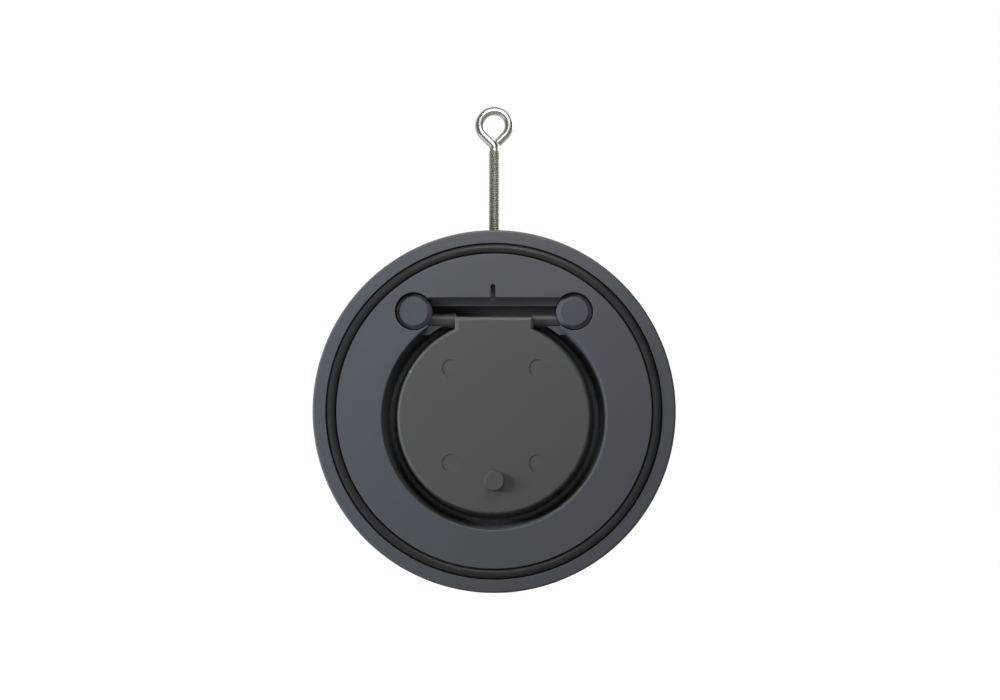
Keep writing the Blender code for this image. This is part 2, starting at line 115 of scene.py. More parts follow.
EDGE_ROUND_FROM = math.radians(32.0)
SMOOTH_UP_TO = math.radians(20.0)
FLAT_FACE = 0.99999
BODY_COLOUR = (0.084, 0.089, 0.098, 1.0)
# Lighter edge colour: partly rubbed wear, partly a painted edge highlight
WORN_AND_HIGHLIT_EDGE_COLOUR = (0.20, 0.22, 0.24, 1.0)
DUST_COLOUR = (0.42, 0.41, 0.38, 1.0)
HAZE_SCALE = 90.0
DUST_FROM_TILT = 0.3
DUST_FULL_TILT = 0.95
# Where the lighter edges (wear and painted highlight) start and are full
WEAR_AND_HIGHLIGHT_FROM_TURN = 0.995
WEAR_AND_HIGHLIGHT_FULL_TURN = 0.86
WEAR_AND_HIGHLIGHT_FROM_NOISE = 0.42
WEAR_AND_HIGHLIGHT_FULL_NOISE = 0.68
PVC_ROUGHNESS = 0.42
PVC_IOR = 1.46
PVC_GRAIN = 0.10
GRAIN_HEIGHT = 0.05 * MM

body_low, body_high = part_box("valve_body")
disc_low, disc_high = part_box("clapper_disc")
cap_low, cap_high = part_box("hinge_cap_right")
bolt_low, bolt_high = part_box("lifting_eyebolt")
ring_low, ring_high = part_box("outlet_face_ring")

body_radius = body_high.x
outlet_y = body_low.y
inlet_y = body_high.y
disc_radius = disc_high.x
throat_z = disc_low.z + disc_radius
hinge = Vector(frame["joints"][0]["pos_m"])
trough_radius = HINGE_BEHIND_FACE + HEEL_CLEARANCE
seat_y = inlet_y - SEAT_WALL
ring_cord = ring_high.y - ring_low.y
ring_radius = ring_high.x - ring_cord / 2
cap_radius = (cap_high.x - cap_low.x) / 2
cap_x = (cap_high.x + cap_low.x) / 2
cap_z = cap_high.z - cap_radius
pocket_radius = cap_radius + CAP_FIT
pocket_floor_y = cap_high.y + POCKET_UNDER_CAP
slot_half_length = cap_x - pocket_radius + SLOT_END_OVERLAP
saddle_radius = TRUNNION_RADIUS + TRUNNION_CLEARANCE


def add_node(tree, kind, inputs=None, **settings):
    """Adds a node, sets its properties, and sets or links its inputs by name or number."""
    made = tree.nodes.new(kind)
    for key, value in settings.items():
        setattr(made, key, value)
    for key, value in (inputs or {}).items():
        if isinstance(value, bpy.types.NodeSocket):
            tree.links.new(value, made.inputs[key])
        else:
            made.inputs[key].default_value = value
    return made


def add_sockets(tree, direction, sockets):
    """Gives a node group its named inputs or outputs, each with a starting value or None."""
    for name, (kind, value) in sockets.items():
        made = tree.interface.new_socket(name, in_out=direction, socket_type="NodeSocket" + kind)
        if value is not None:
            made.default_value = value


def set_inputs(modifier, values):
    """Sets a Geometry Nodes modifier's inputs by the identifiers of their named sockets."""
    for socket in modifier.node_group.interface.items_tree:
        if socket.in_out == "INPUT" and socket.name in values:
            modifier[socket.identifier] = values[socket.name]


def baked_mesh(work):
    """Replaces a working object by the plain mesh that its modifiers make."""
    bpy.context.view_layer.update()
    evaluated = work.evaluated_get(bpy.context.evaluated_depsgraph_get())
    mesh = bpy.data.meshes.new_from_object(evaluated)
    bpy.data.objects.remove(work, do_unlink=True)
    return mesh


def working_object(name, mesh):
    work = bpy.data.objects.new(name, mesh)
    bpy.context.scene.collection.objects.link(work)
    return work


def turned_form_tree():
    """Carries a profile of (radius, y) points round a circle, and lays its axis along Y."""
    tree = bpy.data.node_groups.new("turned_form", "GeometryNodeTree")
    add_sockets(tree, "INPUT", {
        "Profile": ("Geometry", None),
        "Guide Radius": ("Float", 0.05),
        "Segments": ("Int", 96),
        "Material": ("Material", None),
    })
    add_sockets(tree, "OUTPUT", {"Form": ("Geometry", None)})
    given = add_node(tree, "NodeGroupInput").outputs
    inward = add_node(tree, "ShaderNodeMath", {0: given["Guide Radius"], 1: -1.0}, operation="MULTIPLY")
    shift = add_node(tree, "ShaderNodeCombineXYZ", {"X": inward.outputs[0]})
    laid = add_node(tree, "GeometryNodeTransform", {
        "Geometry": given["Profile"], "Translation": shift.outputs[0], "Scale": (1.0, -1.0, 1.0),
    })
    section = add_node(tree, "GeometryNodeMeshToCurve", {"Mesh": laid.outputs[0]})
    guide = add_node(tree, "GeometryNodeCurvePrimitiveCircle", {
        "Resolution": given["Segments"], "Radius": given["Guide Radius"],
    })
    swept = add_node(tree, "GeometryNodeCurveToMesh", {
        "Curve": guide.outputs["Curve"], "Profile Curve": section.outputs["Curve"],
    })
    turned = add_node(tree, "GeometryNodeTransform", {
        "Geometry": swept.outputs["Mesh"], "Rotation": (-math.pi / 2, 0.0, 0.0),
    })
    real = add_node(tree, "GeometryNodeRealizeInstances", {"Geometry": turned.outputs[0]})
    coated = add_node(tree, "GeometryNodeSetMaterial", {
        "Geometry": real.outputs[0], "Material": given["Material"],
    })
    add_node(tree, "NodeGroupOutput", {"Form": coated.outputs[0]})
    return tree


turned_form_nodes = turned_form_tree()


def turned(name, profile, segments, closed=False, offset=(0.0, 0.0, 0.0)):
    """Turns (radius, y) points about the Y axis with the tree; open ends get flat round faces."""
    count = len(profile)
    outline = bpy.data.meshes.new(name + "_profile")
    links = [(index, (index + 1) % count) for index in range(count if closed else count - 1)]
    outline.from_pydata([(radius, y, 0.0) for radius, y in profile], links, [])
    work = working_object(name, outline)
    modifier = work.modifiers.new("turned_form", "NODES")
    modifier.node_group = turned_form_nodes
    set_inputs(modifier, {"Guide Radius": max(radius for radius, _ in profile), "Segments": segments})
    return closed_mesh(baked_mesh(work), offset)


def closed_mesh(mesh, offset=(0.0, 0.0, 0.0)):
    """Merges doubles, closes open ends, points the faces outwards and moves the mesh to its place."""
    shape = bmesh.new()
    shape.from_mesh(mesh)
    bmesh.ops.remove_doubles(shape, verts=shape.verts, dist=1e-6)
    bmesh.ops.holes_fill(shape, edges=shape.edges, sides=0)
    bmesh.ops.recalc_face_normals(shape, faces=shape.faces)
    shape.transform(Matrix.Translation(offset))
    shape.to_mesh(mesh)
    shape.free()
    return mesh


def arc(centre, radius, start, end, steps=ARC_STEPS):
    """Points of an arc in a plane, from one angle to another, both ends included."""
    return [
        (
            centre[0] + radius * math.cos(start + (end - start) * step / steps),
            centre[1] + radius * math.sin(start + (end - start) * step / steps),
        )
        for step in range(steps + 1)
    ]


def prism(name, outline, direction):
    """Pushes a flat outline of 3-D points along a direction into a closed prism."""
    shape = bmesh.new()
    face = shape.faces.new([shape.verts.new(point) for point in outline])
    grown = bmesh.ops.extrude_face_region(shape, geom=[face])
    moved = [item for item in grown["geom"] if isinstance(item, bmesh.types.BMVert)]
    bmesh.ops.translate(shape, verts=moved, vec=direction)
    mesh = bpy.data.meshes.new(name)
    shape.to_mesh(mesh)
    shape.free()
    return closed_mesh(mesh)


def crossbar(name, profile, segments, offset):
    """Turns (radius, x) points about X."""
    mesh = turned(name, profile, segments)
    mesh.transform(Matrix.Rotation(-math.pi / 2, 4, "Z") @ Matrix.Rotation(math.pi / segments, 4, "Y"))
    mesh.transform(Matrix.Translation(offset))
    return mesh


def combined(name, mesh, tools, operation):
    """Cuts or joins tool meshes into a mesh, one exact Boolean each."""
    work = working_object(name, mesh)
    helpers = [working_object("helper", tool) for tool in tools]
    for helper in helpers:
        boolean = work.modifiers.new("boolean", "BOOLEAN")
        boolean.operation = operation
        boolean.solver = "EXACT"
        boolean.object = helper
    result = baked_mesh(work)
    for helper in helpers:
        bpy.data.objects.remove(helper, do_unlink=True)
    return result


def body_blank():
    """The wheel as it leaves the lathe: rounded rim, and a ring groove with soft lips in each face."""
    groove_inner = ring_radius - ring_cord / 2 - GROOVE_SIDE_GAP
    groove_outer = ring_radius + ring_cord / 2 + GROOVE_SIDE_GAP
    floor_y = ring_high.y + FIT_GAP
    lip = GROOVE_LIP_ROUND
    outlet_half = [
        *arc((groove_inner - lip, outlet_y + lip), lip, -math.pi / 2, 0.0),
        (groove_inner, floor_y),
        (groove_outer, floor_y),
        *arc((groove_outer + lip, outlet_y + lip), lip, math.pi, math.pi * 1.5),
        *arc((body_radius - RIM_ROUND, outlet_y + RIM_ROUND), RIM_ROUND, -math.pi / 2, 0.0),
        (body_radius, outlet_y + RIM_ROUND + WALL_SUPPORT),
    ]
    inlet_half = [(radius, -y) for radius, y in reversed(outlet_half)]
    return turned("body_blank", outlet_half + inlet_half, WHEEL_SEGMENTS)


def throat_cutter():
    """Recess, seat floor and inlet bore, turned about the throat's own axis below the body's."""
    widening = math.tan(RECESS_DRAFT)
    mouth_y = outlet_y + RECESS_MOUTH_ROUND
    base_radius = RECESS_MOUTH_RADIUS - (seat_y - outlet_y) * widening
    mouth_wall = RECESS_MOUTH_RADIUS - widening * RECESS_MOUTH_ROUND
    lead_in_y = inlet_y - BORE_LEAD_IN
    profile = [
        (RECESS_MOUTH_RADIUS + RECESS_MOUTH_ROUND + OVERSHOOT, outlet_y - OVERSHOOT),
        (RECESS_MOUTH_RADIUS + RECESS_MOUTH_ROUND, outlet_y),
        *arc(
            (mouth_wall + RECESS_MOUTH_ROUND, mouth_y), RECESS_MOUTH_ROUND,
            MOUTH_START, math.pi, MOUTH_STEPS,
        ),
        *arc((base_radius - RECESS_FILLET, seat_y - RECESS_FILLET), RECESS_FILLET, 0.0, math.pi / 2),
        (BORE_RADIUS, seat_y),
        (BORE_RADIUS, lead_in_y),
        (BORE_RADIUS + BORE_LEAD_IN + OVERSHOOT, inlet_y + OVERSHOOT),
    ]
    return turned("throat_cutter", profile, WHEEL_SEGMENTS, offset=(0.0, 0.0, throat_z))


def hinge_block():
    """What stands in the recess at the hinge: a shelf under each trunnion and the wall behind."""
    inner_radius = disc_radius + SHELF_TO_DISC
    low = hinge.z - SHELF_DROP
    upper_angle = math.asin((hinge.z - throat_z) / inner_radius)
    lower_angle = math.asin((low - throat_z) / inner_radius)
    right = [
        *arc((0.0, throat_z), inner_radius, upper_angle, lower_angle, 3 * ARC_STEPS),
        (cap_x, low),
        (cap_x, hinge.z + SLOT_RISE),
    ]
    left = [(-x, z) for x, z in reversed(right)]
    shelf_y = outlet_y + SHELF_DEPTH
    outline = [(x, shelf_y, z) for x, z in right + left]
    return prism("hinge_block", outline, (0.0, seat_y + OVERSHOOT - shelf_y, 0.0))


def slot_cutter():
    """The straight slot between the pockets: coved above the hinge, and shelf-deep below it."""
    cove_rise = SLOT_RISE - SLOT_FLOOR_RISE
    cove_depth = hinge.y - outlet_y
    cove_steps = 2 * ARC_STEPS
    cove = []
    for step in range(cove_steps + 1):
        angle = math.pi / 2 * step / cove_steps
        along = outlet_y + cove_depth * math.sin(angle)
        cove.append((along, hinge.z + SLOT_FLOOR_RISE + cove_rise * math.cos(angle)))
    section = [
        (outlet_y + SHELF_DEPTH, hinge.z - SHELF_DROP),
        (outlet_y - OVERSHOOT, hinge.z - SHELF_DROP),
        (outlet_y - OVERSHOOT, hinge.z + SLOT_RISE),
        *cove,
        (hinge.y, hinge.z),
        (outlet_y + SHELF_DEPTH, hinge.z),
    ]
    outline = [(-slot_half_length, y, z) for y, z in section]
    return prism("slot_cutter", outline, (2 * slot_half_length, 0.0, 0.0))


def trough_cutter():
    """The half-round trough along the slot, in which the neck's heel turns."""
    section = arc((hinge.y, hinge.z), trough_radius, 0.0, math.pi, 6 * ARC_STEPS)
    outline = [(-slot_half_length, y, z) for y, z in section]
    return prism("trough_cutter", outline, (2 * slot_half_length, 0.0, 0.0))


def pocket_cutter(side):
    """Round bearing pocket at one end of the slot."""
    profile = [
        (pocket_radius + POCKET_CHAMFER + OVERSHOOT, outlet_y - OVERSHOOT),
        (pocket_radius, outlet_y + POCKET_CHAMFER),
        (pocket_radius, pocket_floor_y),
    ]
    return turned("pocket_cutter", profile, POCKET_SEGMENTS, offset=(side * cap_x, 0.0, cap_z))


def spring_notch_cutter():
    """Narrow round-topped notch above the slot, for the leg of a closing spring."""
    half = SPRING_NOTCH_WIDTH / 2
    foot = hinge.z + SLOT_RISE - OVERSHOOT
    top = hinge.z + SLOT_RISE + SPRING_NOTCH_RISE - half
    section = [
        (SPRING_NOTCH_OFFSET - half, foot),
        (SPRING_NOTCH_OFFSET + half, foot),
        *arc((SPRING_NOTCH_OFFSET, top), half, 0.0, math.pi),
    ]
    outline = [(x, outlet_y - OVERSHOOT, z) for x, z in section]
    return prism("spring_notch_cutter", outline, (0, OVERSHOOT + SPRING_NOTCH_DEPTH, 0))


def bolt_hole_cutter():
    """Blind hole for the eyebolt in the top of the rim."""
    hole_radius = BOLT_RADIUS + FIT_GAP
    profile = [
        (hole_radius, body_radius - BOLT_HOLE_DEPTH),
        (hole_radius, body_radius - BOLT_HOLE_CHAMFER),
        (hole_radius + BOLT_HOLE_CHAMFER + OVERSHOOT, body_radius + OVERSHOOT),
    ]
    mesh = turned("bolt_hole_cutter", profile, BAR_SEGMENTS)
    mesh.transform(Matrix.Rotation(math.pi / 2, 4, "X"))
    return mesh


def body_mesh():
    wheel = combined("valve_body_work", body_blank(), [throat_cutter()], "DIFFERENCE")
    with_shelves = combined("valve_body_work", wheel, [hinge_block()], "UNION")
    saddle = [(saddle_radius, -cap_x), (saddle_radius, cap_x)]
    cutters = [
        slot_cutter(),
        crossbar("saddle", saddle, BAR_SEGMENTS, hinge),
        trough_cutter(),
        pocket_cutter(-1),
        pocket_cutter(1),
        spring_notch_cutter(),
        bolt_hole_cutter(),
    ]
    return combined("valve_body_work", with_shelves, cutters, "DIFFERENCE")


def moulded_skin_group():
    """Moulded plastic: broad soft clouds in the colour, and a fine grain in gloss and height."""
    group = bpy.data.node_groups.new("moulded_skin", "ShaderNodeTree")
    add_sockets(group, "INPUT", {
        "Colour": ("Color", (0.08, 0.08, 0.09, 1.0)),
        "Cloud Amount": ("Float", 0.12),
        "Cloud Scale": ("Float", 22.0),
        "Grain Scale": ("Float", 2600.0),
        "Roughness": ("Float", 0.42),
        "Roughness Spread": ("Float", 0.08),
    })
    add_sockets(group, "OUTPUT", {
        "Colour": ("Color", None),
        "Roughness": ("Float", None),
        "Height": ("Float", None),
    })
    given = add_node(group, "NodeGroupInput").outputs
    place = add_node(group, "ShaderNodeTexCoord").outputs["Object"]
    cloud = add_node(group, "ShaderNodeTexNoise", {
        "Vector": place, "Scale": given["Cloud Scale"], "Detail": 4.0, "Roughness": 0.55,
    })
    grain = add_node(group, "ShaderNodeTexNoise", {
        "Vector": place, "Scale": given["Grain Scale"], "Detail": 2.0, "Roughness": 0.6,
    })
    swing = add_node(group, "ShaderNodeMath", {0: cloud.outputs[0], 1: 0.5}, operation="SUBTRACT")
    shade = add_node(group, "ShaderNodeMath", {
        0: swing.outputs[0], 1: given["Cloud Amount"], 2: 1.0,
    }, operation="MULTIPLY_ADD")
    tinted = add_node(group, "ShaderNodeVectorMath", {
        0: given["Colour"], "Scale": shade.outputs[0],
    }, operation="SCALE")
    sparkle = add_node(group, "ShaderNodeMath", {
        0: grain.outputs[0], 1: cloud.outputs[0],
    }, operation="ADD")
    spread = add_node(group, "ShaderNodeMath", {0: sparkle.outputs[0], 1: 1.0}, operation="SUBTRACT")
    gloss = add_node(group, "ShaderNodeMath", {
        0: spread.outputs[0], 1: given["Roughness Spread"], 2: given["Roughness"],
    }, operation="MULTIPLY_ADD")
    add_node(group, "NodeGroupOutput", {
        "Colour": tinted.outputs[0], "Roughness": gloss.outputs[0], "Height": grain.outputs[0],
    })
    return group


def edge_wear_and_highlight_group():
    """Mask that is 1 on outer and inner edges, broken up by noise: rubbed wear and a painted edge
    highlight.
    """
    group = bpy.data.node_groups.new("edge_wear_and_highlight", "ShaderNodeTree")
    add_sockets(group, "INPUT", {
        "Width": ("Float", 0.4 * MM),
        "Break-up Scale": ("Float", 350.0),
    })
    add_sockets(group, "OUTPUT", {"Mask": ("Float", None)})
    given = add_node(group, "NodeGroupInput").outputs
    place = add_node(group, "ShaderNodeTexCoord").outputs["Object"]
    rounded = add_node(group, "ShaderNodeBevel", {"Radius": given["Width"]}, samples=6)
    flat = add_node(group, "ShaderNodeNewGeometry").outputs["Normal"]
    agree = add_node(group, "ShaderNodeVectorMath", {
        0: rounded.outputs[0], 1: flat,
    }, operation="DOT_PRODUCT")
    edge = add_node(group, "ShaderNodeMapRange", {
        "Value": agree.outputs["Value"], "From Min": WEAR_AND_HIGHLIGHT_FROM_TURN, "From Max": WEAR_AND_HIGHLIGHT_FULL_TURN,
    })
    noise = add_node(group, "ShaderNodeTexNoise", {
        "Vector": place, "Scale": given["Break-up Scale"], "Detail": 3.0,
    })
    patchy = add_node(group, "ShaderNodeMapRange", {
        "Value": noise.outputs[0], "From Min": WEAR_AND_HIGHLIGHT_FROM_NOISE, "From Max": WEAR_AND_HIGHLIGHT_FULL_NOISE,
    })
    mask = add_node(group, "ShaderNodeMath", {
        0: edge.outputs[0], 1: patchy.outputs[0],
    }, operation="MULTIPLY")
    add_node(group, "NodeGroupOutput", {"Mask": mask.outputs[0]})
    return group


def dust_group():
    """Mask of sparse small specks, and of a faint film on faces that look up."""
    group = bpy.data.node_groups.new("settled_dust", "ShaderNodeTree")
    add_sockets(group, "INPUT", {
        "Speck Scale": ("Float", 160.0),
        "Speck Size": ("Float", 0.05),
        "Speck Share": ("Float", 0.05),
        "Film": ("Float", 0.03),
    })
    add_sockets(group, "OUTPUT", {"Mask": ("Float", None)})
    given = add_node(group, "NodeGroupInput").outputs
    place = add_node(group, "ShaderNodeTexCoord").outputs["Object"]
    cells = add_node(group, "ShaderNodeTexVoronoi", {"Vector": place, "Scale": given["Speck Scale"]})
    near = add_node(group, "ShaderNodeMath", {
        0: cells.outputs["Distance"], 1: given["Speck Size"],
    }, operation="LESS_THAN")
    lottery = add_node(group, "ShaderNodeSeparateColor", {"Color": cells.outputs["Color"]})
    drawn = add_node(group, "ShaderNodeMath", {
        0: lottery.outputs[0], 1: given["Speck Share"],
    }, operation="LESS_THAN")
    speck = add_node(group, "ShaderNodeMath", {
        0: near.outputs[0], 1: drawn.outputs[0],
    }, operation="MULTIPLY")
    facing = add_node(group, "ShaderNodeSeparateXYZ", {
        "Vector": add_node(group, "ShaderNodeNewGeometry").outputs["Normal"],
    })
    upward = add_node(group, "ShaderNodeMapRange", {
        "Value": facing.outputs["Z"], "From Min": DUST_FROM_TILT, "From Max": DUST_FULL_TILT,
    })
    haze = add_node(group, "ShaderNodeTexNoise", {
        "Vector": place, "Scale": HAZE_SCALE, "Detail": 5.0,
    })
    film = add_node(group, "ShaderNodeMath", {
        0: upward.outputs[0], 1: haze.outputs[0],
    }, operation="MULTIPLY")
    thin = add_node(group, "ShaderNodeMath", {
        0: film.outputs[0], 1: given["Film"],
    }, operation="MULTIPLY")
    mask = add_node(group, "ShaderNodeMath", {
        0: speck.outputs[0], 1: thin.outputs[0],
    }, operation="MAXIMUM")
    add_node(group, "NodeGroupOutput", {"Mask": mask.outputs[0]})
    return group


moulded_skin = moulded_skin_group()
edge_wear_and_highlight = edge_wear_and_highlight_group()
settled_dust = dust_group()


def mixed(tree, share, below, above):
    """A colour laid over another one by a mask."""
    mix = add_node(tree, "ShaderNodeMix", data_type="RGBA")
    for socket, value in ((0, share), (6, below), (7, above)):
        if isinstance(value, bpy.types.NodeSocket):
            tree.links.new(value, mix.inputs[socket])
        else:
            mix.inputs[socket].default_value = value
    return mix.outputs[2]


def scaled(tree, value, factor):
    return add_node(tree, "ShaderNodeMath", {0: value, 1: factor}, operation="MULTIPLY").outputs[0]


def satin_pvc(name, colour, roughness, cloud_scale=22.0, wear_and_highlight=0.2):
    """Satin moulded PVC with lighter edges, from rubbed wear and a painted highlight, and a little
    dust.
    """
    made = bpy.data.materials.new(name)
    made.use_nodes = True
    tree = made.node_tree
    shader = tree.nodes["Principled BSDF"]
    skin = add_node(tree, "ShaderNodeGroup", node_tree=moulded_skin)
    skin.inputs["Colour"].default_value = colour
    skin.inputs["Cloud Scale"].default_value = cloud_scale
    skin.inputs["Roughness"].default_value = roughness
    worn_and_highlit = add_node(tree, "ShaderNodeGroup", node_tree=edge_wear_and_highlight)
    dust = add_node(tree, "ShaderNodeGroup", node_tree=settled_dust)
    # Lighter edges: rubbed wear and a painted edge highlight
    rubbed_and_highlit = mixed(
        tree, scaled(tree, worn_and_highlit.outputs["Mask"], wear_and_highlight), skin.outputs["Colour"], WORN_AND_HIGHLIT_EDGE_COLOUR,
    )
    dusty = mixed(tree, dust.outputs["Mask"], rubbed_and_highlit, DUST_COLOUR)
    tree.links.new(dusty, shader.inputs["Base Color"])
    tree.links.new(skin.outputs["Roughness"], shader.inputs["Roughness"])
    bump = add_node(tree, "ShaderNodeBump", {
        "Height": skin.outputs["Height"], "Strength": PVC_GRAIN, "Distance": GRAIN_HEIGHT,
    })
    tree.links.new(bump.outputs["Normal"], shader.inputs["Normal"])
    shader.inputs["IOR"].default_value = PVC_IOR
    return made


def finished_piece(name, mesh, material, edge_round):
    """Rounds the sharp edges, shades flat faces flat and curved ones smooth, and links the piece."""
    if edge_round:
        work = working_object(name + "_work", mesh)
        bevel = work.modifiers.new("edge_round", "BEVEL")
        bevel.width = edge_round
        bevel.segments = EDGE_ROUND_STEPS
        bevel.limit_method = "ANGLE"
        bevel.angle_limit = EDGE_ROUND_FROM
        bevel.miter_outer = "MITER_ARC"
        mesh = baked_mesh(work)
    mesh.materials.clear()
    mesh.materials.append(material)
    mesh.shade_smooth()
    mesh.set_sharp_from_angle(angle=SMOOTH_UP_TO)
    for face in mesh.polygons:
        face.use_smooth = max(abs(part) for part in face.normal) < FLAT_FACE
    mesh.name = name
    return working_object(name, mesh)


body_pvc = satin_pvc("body_pvc", BODY_COLOUR, PVC_ROUGHNESS)
wheel = finished_piece("valve_body_wheel", body_mesh(), body_pvc, BODY_EDGE_ROUND)
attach(wheel, "body")
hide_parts("valve_body")


# Clapper disc
# A thick moulded plate of the same PVC, in one piece with its straight-topped neck and the two
# trunnions. Its back has the groove for the seal ring and a shallow dish.
DISC_DRAFT = math.radians(11.0)
DISC_FRONT_ROUND = 1.2 * MM
DISC_BACK_CHAMFER = 0.8 * MM
DISC_DISH_WALL = 9.0 * MM
DISC_DISH_DEPTH = 1.8 * MM
NECK_WIDTH = 35.1 * MM
NECK_RISE = 1.6 * MM
NECK_ROUND = 2.0 * MM
NECK_INTO_DISC = 10.0 * MM
TRUNNION_INTO_NECK = 0.3 * MM
TRUNNION_CHAMFER = 0.5 * MM
TRUNNION_END = 36.5 * MM
BOSS_RADIUS = 4.6 * MM
BOSS_TOP_RADIUS = 4.1 * MM
BOSS_BELOW_CENTRE = 28.3 * MM
MARK_RADIUS = 4.0 * MM
MARK_DEPTH = 0.3 * MM
MARK_SIDE = 19.4 * MM
MARK_ABOVE_CENTRE = 21.9 * MM
MARK_BELOW_CENTRE = 20.4 * MM
SEAL_SIDE_GAP = 0.3 * MM
DISC_EDGE_ROUND = 0.25 * MM
DISC_COLOUR = (0.086, 0.088, 0.088, 1.0)
DISC_ROUGHNESS = 0.40
DISC_CLOUDS = 16.0
# Painted shade for the trunnions, which lie in the slot's shadow
TRUNNION_SHADE_COLOUR = (0.040, 0.042, 0.046, 1.0)
TRUNNION_SHADE_FADE = 0.3 * MM

seal_low, seal_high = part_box("disc_seal_ring")
seal_cord = seal_high.y - seal_low.y
seal_radius = seal_high.x - seal_cord / 2
seal_groove_outer = seal_radius + seal_cord / 2 + SEAL_SIDE_GAP
seal_groove_inner = seal_radius - seal_cord / 2 - SEAL_SIDE_GAP
disc_face_y = hinge.y - HINGE_BEHIND_FACE
disc_back_y = disc_high.y
neck_side = NECK_WIDTH / 2


def disc_plate():
    """The round plate with its drafted side and rounded front edge, about the throat's axis."""
    round_y = disc_face_y + DISC_FRONT_ROUND
    back_edge_y = disc_back_y - DISC_BACK_CHAMFER
    front_radius = disc_radius - (back_edge_y - round_y) * math.tan(DISC_DRAFT)
    profile = [
        *arc((front_radius - DISC_FRONT_ROUND, round_y), DISC_FRONT_ROUND, -math.pi / 2, -DISC_DRAFT),
        (front_radius + WALL_SUPPORT * math.tan(DISC_DRAFT), round_y + WALL_SUPPORT),
        (disc_radius, back_edge_y),
        (disc_radius - DISC_BACK_CHAMFER, disc_back_y),
    ]
    return turned("disc_plate", profile, WHEEL_SEGMENTS, offset=(0.0, 0.0, throat_z))


def neck_block():
    """The neck, flush with the disc's face and back, and rounded along its front edges."""
    low = hinge.z - NECK_INTO_DISC
    top = hinge.z + NECK_RISE
    outline = [(-neck_side, low), (-neck_side, top), (neck_side, top), (neck_side, low)]
    mesh = prism(
        "neck_block", [(x, disc_face_y, z) for x, z in outline], (0.0, disc_back_y - disc_face_y, 0.0),
    )
    shape = bmesh.new()
    shape.from_mesh(mesh)
    front_edges = []
    for edge in shape.edges:
        in_front = all(abs(corner.co.y - disc_face_y) < 0.1 * MM for corner in edge.verts)
        if in_front and max(corner.co.z for corner in edge.verts) > hinge.z:
            front_edges.append(edge)
    bmesh.ops.bevel(
        shape, geom=front_edges, offset=NECK_ROUND, segments=ARC_STEPS, profile=0.5, affect="EDGES",
    )
    shape.to_mesh(mesh)
    shape.free()
    return closed_mesh(mesh)


def trunnion(side):
    """One trunnion: a round stub that starts just inside the neck's side."""
    profile = [
        (TRUNNION_RADIUS, side * (neck_side - TRUNNION_INTO_NECK)),
        (TRUNNION_RADIUS, side * (TRUNNION_END - TRUNNION_CHAMFER)),
        (TRUNNION_RADIUS - TRUNNION_CHAMFER, side * TRUNNION_END),
    ]
    return crossbar("trunnion", profile, BAR_SEGMENTS, hinge)


def stud(name, radius, top_radius, low_y, high_y, x, z):
    """A short round stud or cutter along Y, narrower at its outlet end."""
    return turned(name, [(top_radius, low_y), (radius, high_y)], BAR_SEGMENTS, offset=(x, 0.0, z))


def seal_groove_cutter():
    profile = [
        (seal_groove_outer, seal_low.y - FIT_GAP),
        (seal_groove_outer, disc_back_y + OVERSHOOT),
        (seal_groove_inner, disc_back_y + OVERSHOOT),
        (seal_groove_inner, seal_low.y - FIT_GAP),
    ]
    return turned("seal_groove", profile, WHEEL_SEGMENTS, closed=True, offset=(0.0, 0.0, throat_z))


def dish_cutter():
    dish_radius = seal_groove_inner - DISC_DISH_WALL
    profile = [
        (dish_radius - 2 * DISC_DISH_DEPTH, disc_back_y - DISC_DISH_DEPTH),
        (dish_radius + 2 * OVERSHOOT, disc_back_y + OVERSHOOT),
    ]
    return turned("dish", profile, WHEEL_SEGMENTS, offset=(0.0, 0.0, throat_z))


def disc_mesh():
    boss = stud(
        "boss", BOSS_RADIUS, BOSS_TOP_RADIUS, disc_low.y, disc_face_y + OVERSHOOT,
        0.0, throat_z - BOSS_BELOW_CENTRE,
    )
    parts = [neck_block(), trunnion(-1), trunnion(1), boss]
    joined = combined("disc_work", disc_plate(), parts, "UNION")
    cuts = [seal_groove_cutter(), dish_cutter()]
    for side in (-1, 1):
        for rise in (MARK_ABOVE_CENTRE, -MARK_BELOW_CENTRE):
            cuts.append(stud(
                "mark", MARK_RADIUS, MARK_RADIUS, disc_face_y - OVERSHOOT, disc_face_y + MARK_DEPTH,
                side * MARK_SIDE, throat_z + rise,
            ))
    return combined("disc_work", joined, cuts, "DIFFERENCE")


def paint_trunnion_shade(material):
    """Paints shade on the trunnions and the disc's edge beside them: darker from the neck's sides on.
    """
    tree = material.node_tree
    colour = tree.nodes["Principled BSDF"].inputs["Base Color"]
    place = add_node(tree, "ShaderNodeSeparateXYZ", {
        "Vector": add_node(tree, "ShaderNodeTexCoord").outputs["Object"],
    }).outputs
    reach = add_node(tree, "ShaderNodeMath", {0: place["X"]}, operation="ABSOLUTE").outputs[0]
    beyond = add_node(tree, "ShaderNodeMapRange", {
        "Value": reach, "From Min": neck_side, "From Max": neck_side + TRUNNION_SHADE_FADE,
    }).outputs[0]
    above = add_node(tree, "ShaderNodeMath", {
        0: place["Z"], 1: hinge.z - TRUNNION_RADIUS - TRUNNION_SHADE_FADE,
    }, operation="GREATER_THAN").outputs[0]
    plain = colour.links[0].from_socket
    tree.links.new(mixed(tree, scaled(tree, beyond, above), plain, TRUNNION_SHADE_COLOUR), colour)


disc_pvc = satin_pvc("disc_pvc", DISC_COLOUR, DISC_ROUGHNESS, cloud_scale=DISC_CLOUDS)
# The trunnions and the disc's edge beside them get painted shade
paint_trunnion_shade(disc_pvc)
clapper = finished_piece("clapper_disc_moulding", disc_mesh(), disc_pvc, DISC_EDGE_ROUND)
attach(clapper, "disc")
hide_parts("clapper_disc")


